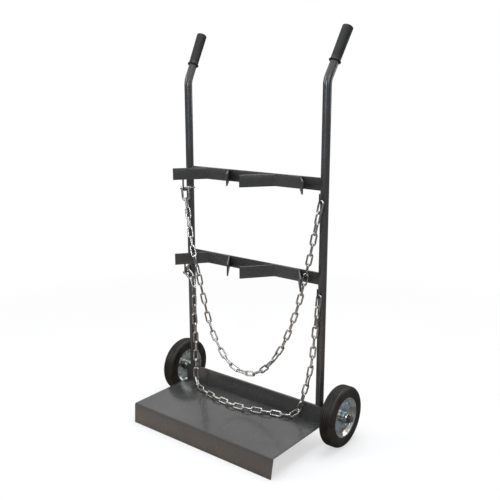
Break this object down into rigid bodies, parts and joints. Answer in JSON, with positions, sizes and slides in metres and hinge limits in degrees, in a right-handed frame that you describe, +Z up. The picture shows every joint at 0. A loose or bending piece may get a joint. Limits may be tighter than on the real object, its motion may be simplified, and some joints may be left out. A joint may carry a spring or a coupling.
{
  "type": "oxy acetylene torch cart",
  "caption": "A two-cylinder gas trolley: grey tube uprights with raked handles and grips, curved cylinder saddles, a folded deck, hooked safety chains and rubber-tyred wheels.",
  "frame": {"origin": "on the floor, under the middle of the whole trolley's bounding box", "axes": "+Z up; +Y to the back, where the handles lean and the user stands to pull; +X to the right of someone standing in front of the deck"},
  "size_m": [0.781, 0.4164, 1.3317],
  "materials": {
    "grey_paint": "semi-gloss powder coat",
    "bright_zinc": "bright zinc plate, slightly clouded",
    "chain_zinc": "zinc plate over drawn wire",
    "black_rubber": "matte moulded rubber",
    "black_vinyl": "satin moulded vinyl",
    "black_nylon": "satin"
  },
  "bodies": {
    "frame": {"left_upright": "grey_paint", "right_upright": "grey_paint", "left_grip": "black_vinyl", "right_grip": "black_vinyl", "base_plate": "grey_paint", "upper_crossbar": "grey_paint", "upper_left_saddle": "grey_paint", "upper_right_saddle": "grey_paint", "lower_crossbar": "grey_paint", "lower_left_saddle": "grey_paint", "lower_right_saddle": "grey_paint", "upper_left_hook": "grey_paint", "upper_right_hook": "grey_paint", "lower_left_hook": "grey_paint", "lower_right_hook": "grey_paint", "axle": "grey_paint", "left_outer_washer": "bright_zinc", "left_inner_washer": "bright_zinc", "left_split_pin": "bright_zinc", "right_outer_washer": "bright_zinc", "right_inner_washer": "bright_zinc", "right_split_pin": "bright_zinc", "upper_shackle_bow": "chain_zinc", "upper_shackle_pin": "chain_zinc", "lower_shackle_bow": "chain_zinc", "lower_shackle_pin": "chain_zinc", "upper_chain": "chain_zinc", "lower_chain": "chain_zinc"},
    "left_wheel": {"left_tyre": "black_rubber", "left_hub_tube": "bright_zinc", "left_outer_disc": "bright_zinc", "left_inner_disc": "bright_zinc", "left_outer_bush": "black_nylon", "left_inner_bush": "black_nylon", "left_rivet_1": "bright_zinc", "left_rivet_2": "bright_zinc", "left_rivet_3": "bright_zinc"},
    "right_wheel": {"right_tyre": "black_rubber", "right_hub_tube": "bright_zinc", "right_outer_disc": "bright_zinc", "right_inner_disc": "bright_zinc", "right_outer_bush": "black_nylon", "right_inner_bush": "black_nylon", "right_rivet_1": "bright_zinc", "right_rivet_2": "bright_zinc", "right_rivet_3": "bright_zinc"}
  },
  "joints": [
    {"name": "left_wheel_spin", "type": "hinge", "parent": "frame", "child": "left_wheel", "pos_m": [-0.348, 0.10667, 0.1015], "axis": [1, 0, 0], "continuous": true},
    {"name": "right_wheel_spin", "type": "hinge", "parent": "frame", "child": "right_wheel", "pos_m": [0.348, 0.10667, 0.1015], "axis": [1, 0, 0], "continuous": true}
  ]
}
